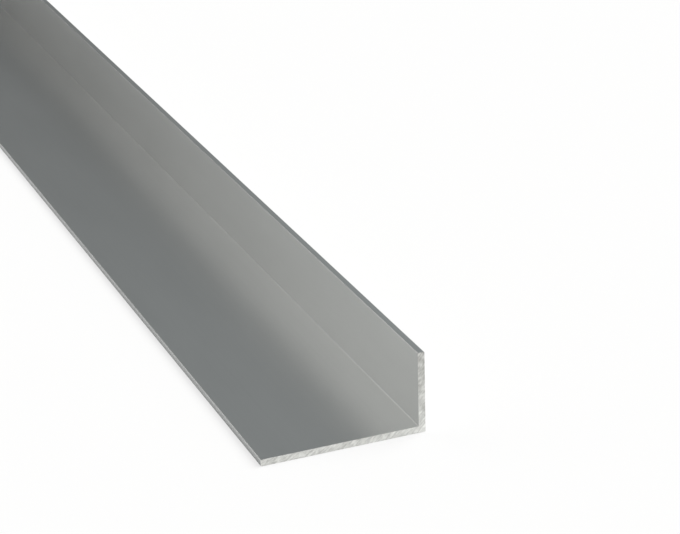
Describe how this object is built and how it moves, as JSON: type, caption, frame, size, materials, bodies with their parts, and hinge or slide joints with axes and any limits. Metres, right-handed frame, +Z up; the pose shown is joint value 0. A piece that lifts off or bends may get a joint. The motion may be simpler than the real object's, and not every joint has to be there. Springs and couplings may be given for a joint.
{
  "type": "aluminium angle profile",
  "caption": "Unequal-leg aluminium angle, a straight extruded length of L section with square sawn ends, for edges, frames, brackets and trim.",
  "frame": {"origin": "middle of the footprint, on the face of the wide leg that the angle lies on", "axes": "+X along the length, +Y across the wide leg from its toe to the heel, +Z up the narrow leg"},
  "size_m": [1, 0.06, 0.03],
  "materials": {
    "mill_finish_aluminium": "mill finish, satin, with faint die lines along the length and saw marks on both ends"
  },
  "bodies": {
    "root": {"angle_profile": "mill_finish_aluminium"}
  },
  "joints": []
}
